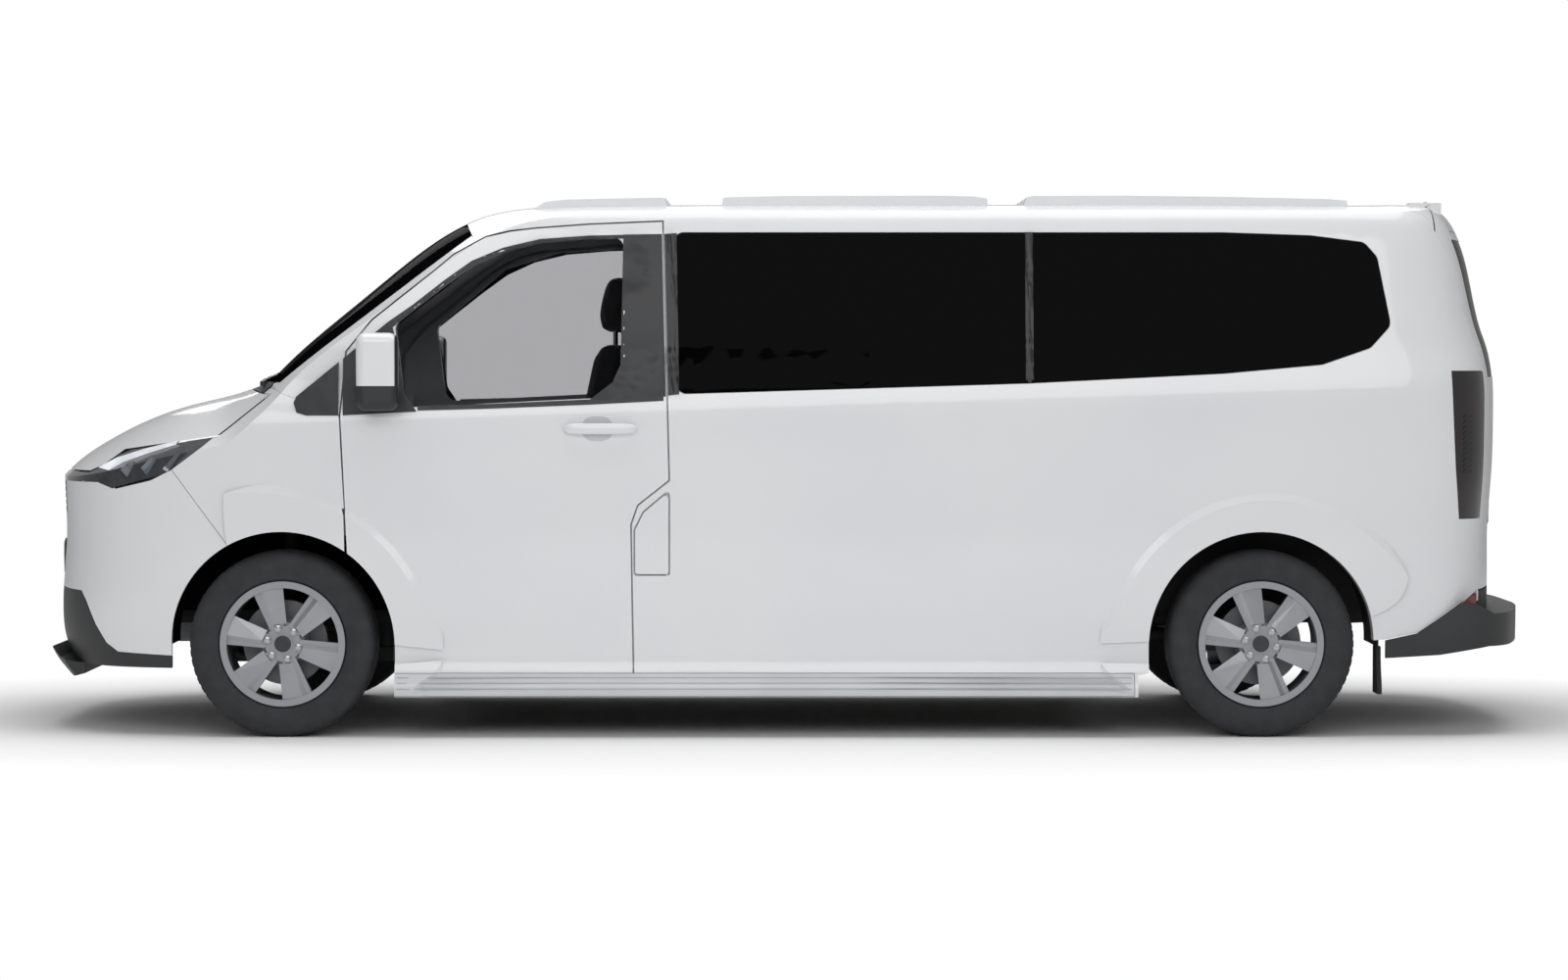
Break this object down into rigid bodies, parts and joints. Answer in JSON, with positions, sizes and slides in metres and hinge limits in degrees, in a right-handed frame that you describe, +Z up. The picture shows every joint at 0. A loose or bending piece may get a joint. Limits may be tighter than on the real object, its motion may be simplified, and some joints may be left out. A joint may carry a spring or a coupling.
{
  "type": "minibus",
  "caption": "Long-wheelbase minibus with a hollow glazed cabin, opening front doors, bonnet, tailgate and fuel flap, steered front wheels and rows of seats.",
  "frame": {"origin": "on the ground under the middle of the vehicle", "axes": "+X to the rear, +Y to the right-hand side, +Z up"},
  "size_m": [5.45, 2.274, 1.95],
  "materials": {
    "white_paint": "gloss",
    "black_plastic": "satin",
    "dark_glass": "gloss",
    "clear_glass": "gloss",
    "lamp_lens": "gloss",
    "red_lens": "gloss",
    "underbody_paint": "satin",
    "cast_aluminium": "satin",
    "cast_iron": "satin",
    "cabin_plastic": "matte",
    "seat_cloth": "matte",
    "exhaust_steel": "satin",
    "flap_rubber": "matte",
    "tyre": "matte",
    "alloy": "satin"
  },
  "bodies": {
    "body": {"roof_panel": "white_paint", "windscreen": "clear_glass", "body_side_left": "white_paint", "body_side_right": "white_paint", "sliding_door": "white_paint", "side_glass": "dark_glass", "front_wings": "white_paint", "scuttle_panel": "black_plastic", "front_bumper_trim": "black_plastic", "grille": "black_plastic", "front_bumper": "white_paint", "headlamps": "lamp_lens", "tail_lamps": "red_lens", "rear_bumper": "black_plastic", "sill_mouldings": "white_paint", "floor_pan": "underbody_paint", "front_structure": "white_paint", "front_subframe": "underbody_paint", "engine_block": "cast_aluminium", "rear_axle": "underbody_paint", "dashboard": "cabin_plastic", "front_seats": "seat_cloth", "second_row_seats": "seat_cloth", "third_row_seats": "seat_cloth", "seat_frames": "cabin_plastic", "fuel_tank": "black_plastic", "exhaust": "exhaust_steel", "mudflaps": "flap_rubber", "interior_mirror": "cabin_plastic"},
    "bonnet": {"bonnet": "white_paint"},
    "front_door_left": {"front_door_left": "white_paint", "front_door_glass_left": "clear_glass", "door_mirror_left": "white_paint"},
    "front_door_right": {"front_door_right": "white_paint", "front_door_glass_right": "clear_glass", "door_mirror_right": "white_paint"},
    "tailgate": {"tailgate": "white_paint", "tailgate_glass": "dark_glass", "tailgate_spoiler": "white_paint"},
    "fuel_flap": {"fuel_flap": "white_paint"},
    "knuckle_left": {"knuckle_left": "cast_iron"},
    "knuckle_right": {"knuckle_right": "cast_iron"},
    "wheel_front_left": {"tyre_front_left": "tyre", "rim_front_left": "alloy"},
    "wheel_front_right": {"tyre_front_right": "tyre", "rim_front_right": "alloy"},
    "wheel_rear_left": {"tyre_rear_left": "tyre", "rim_rear_left": "alloy"},
    "wheel_rear_right": {"tyre_rear_right": "tyre", "rim_rear_right": "alloy"},
    "steering_wheel": {"steering_wheel": "cabin_plastic"}
  },
  "joints": [
    {"name": "bonnet_hinge", "type": "hinge", "parent": "body", "child": "bonnet", "pos_m": [-1.85, 0, 1.256], "axis": [0, 1, 0], "range_deg": [0, 60]},
    {"name": "tailgate_hinge", "type": "hinge", "parent": "body", "child": "tailgate", "pos_m": [2.33505, 0, 1.918], "axis": [0, -1, 0], "range_deg": [0, 85]},
    {"name": "front_door_left_hinge", "type": "hinge", "parent": "body", "child": "front_door_left", "pos_m": [-1.53678, -0.97949, 0.9], "axis": [0, 0, -1], "range_deg": [0, 65]},
    {"name": "front_door_right_hinge", "type": "hinge", "parent": "body", "child": "front_door_right", "pos_m": [-1.53678, 0.97949, 0.9], "axis": [0, 0, 1], "range_deg": [0, 65]},
    {"name": "fuel_flap_hinge", "type": "hinge", "parent": "body", "child": "fuel_flap", "pos_m": [-0.4241, -0.999, 0.74], "axis": [0, 0, 1], "range_deg": [0, 90]},
    {"name": "steer_left", "type": "hinge", "parent": "body", "child": "knuckle_left", "pos_m": [-1.8, -0.79, 0.235], "axis": [0, 0.2826, 0.9592], "range_deg": [-35, 35]},
    {"name": "steer_right", "type": "hinge", "parent": "body", "child": "knuckle_right", "pos_m": [-1.8, 0.79, 0.235], "axis": [0, -0.2826, 0.9592], "range_deg": [-35, 35]},
    {"name": "steering_wheel_turn", "type": "hinge", "parent": "body", "child": "steering_wheel", "pos_m": [-1.29, -0.43, 1.03], "axis": [0.6157, 0, 0.788], "range_deg": [-490, 490]},
    {"name": "wheel_front_left_spin", "type": "hinge", "parent": "knuckle_left", "child": "wheel_front_left", "pos_m": [-1.8, -0.868, 0.334], "axis": [0, 1, 0], "continuous": true},
    {"name": "wheel_front_right_spin", "type": "hinge", "parent": "knuckle_right", "child": "wheel_front_right", "pos_m": [-1.8, 0.868, 0.334], "axis": [0, 1, 0], "continuous": true},
    {"name": "wheel_rear_left_spin", "type": "hinge", "parent": "body", "child": "wheel_rear_left", "pos_m": [1.7, -0.868, 0.334], "axis": [0, 1, 0], "continuous": true},
    {"name": "wheel_rear_right_spin", "type": "hinge", "parent": "body", "child": "wheel_rear_right", "pos_m": [1.7, 0.868, 0.334], "axis": [0, 1, 0], "continuous": true}
  ],
  "couplings": [
    {"joint": "steer_right", "follows": "steer_left", "ratio": 1},
    {"joint": "steering_wheel_turn", "follows": "steer_left", "ratio": 14}
  ]
}
